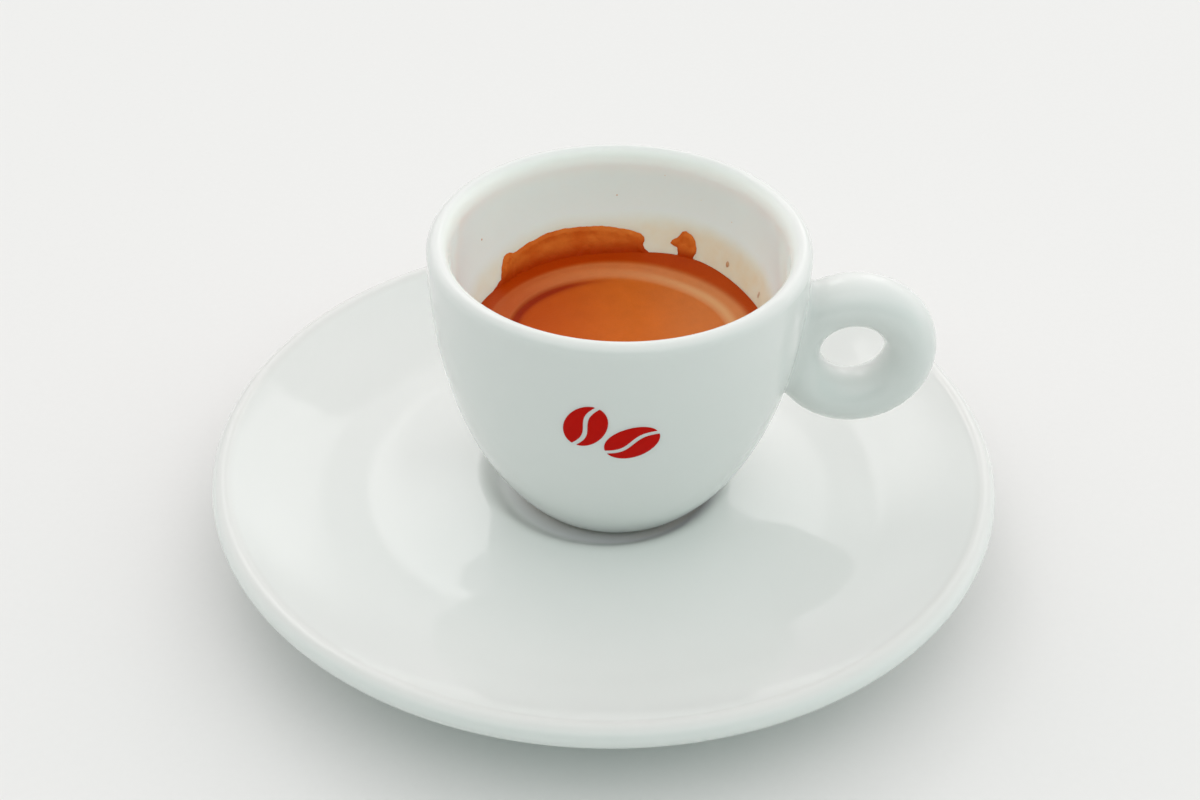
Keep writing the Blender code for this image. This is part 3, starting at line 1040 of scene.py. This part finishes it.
# The window's top edge is uneven and slopes down towards the right.
edge = added(tree, noise_node(tree, direction, 9, 3), 0.10, up)
edge = added(tree, right, 0.20, edge)
window = math_node(tree, "SUBTRACT", 1, smooth_step(tree, edge, 0.797, 0.811))
window = both(tree, window, smooth_step(tree, back, 0.25, 0.45))
window = both(tree, window, smooth_step(tree, up, 0.15, 0.40))
left_pane = both(tree, smooth_step(tree, right, -0.46, -0.32), smooth_step(tree, right, -0.08, -0.15))
left_pane = both(tree, left_pane, smooth_step(tree, up, 0.50, 0.68))
right_pane = both(tree, smooth_step(tree, right, 0.12, 0.22), smooth_step(tree, right, 0.46, 0.40))
glow = added(tree, left_pane, LEFT_PANE_BRIGHTNESS, WINDOW_BRIGHTNESS)
glow = added(tree, right_pane, RIGHT_PANE_BRIGHTNESS, glow)
side = smooth_step(tree, math_node(tree, "ABSOLUTE", right), 0.5, 0.95)
side = both(tree, side, math_node(tree, "SUBTRACT", 1, ceiling))

brightness = added(tree, ceiling, CEILING_BRIGHTNESS, ROOM_BRIGHTNESS)
brightness = added(tree, behind, BEHIND_BRIGHTNESS, brightness)
brightness = added(tree, right, RIGHT_BRIGHTNESS, brightness)
brightness = added(tree, side, SIDE_BRIGHTNESS, brightness)
brightness = added(tree, both(tree, ceiling, behind), CEILING_BEHIND_OVERLAP, brightness)
brightness = added(tree, window, glow, brightness)
warmth = math_node(tree, "MAXIMUM", ceiling, behind)
room = tree.nodes["Background"]
tree.links.new(mixed(tree, warmth, COOL_ROOM, WARM_DAYLIGHT), room.inputs["Color"])
tree.links.new(brightness, room.inputs["Strength"])
backdrop = tree.nodes.new("ShaderNodeBackground")
backdrop.inputs["Color"].default_value = (*BACKDROP, 1)
seen = tree.nodes.new("ShaderNodeMixShader")
light_path = tree.nodes.new("ShaderNodeLightPath")
tree.links.new(light_path.outputs["Is Camera Ray"], seen.inputs[0])
tree.links.new(room.outputs[0], seen.inputs[1])
tree.links.new(backdrop.outputs[0], seen.inputs[2])
tree.links.new(seen.outputs[0], tree.nodes["World Output"].inputs["Surface"])

# Camera
# The photograph's own view: distance and tilt were fitted to the outlines of the
# saucer's lip and the cup's rim.
camera_data = bpy.data.cameras.new("camera")
camera_data.sensor_width = 36
camera_data.lens = 56.79
camera_data.clip_start = 0.01
camera = bpy.data.objects.new("camera", camera_data)
camera.rotation_mode = "ZYX"
camera.rotation_euler = (radians(52.67), radians(0.15), radians(1.02))
camera.location = (0, -0.2382, 0.2068)
bpy.context.scene.collection.objects.link(camera)
bpy.context.scene.camera = camera
bpy.context.scene.view_settings.view_transform = "Standard"
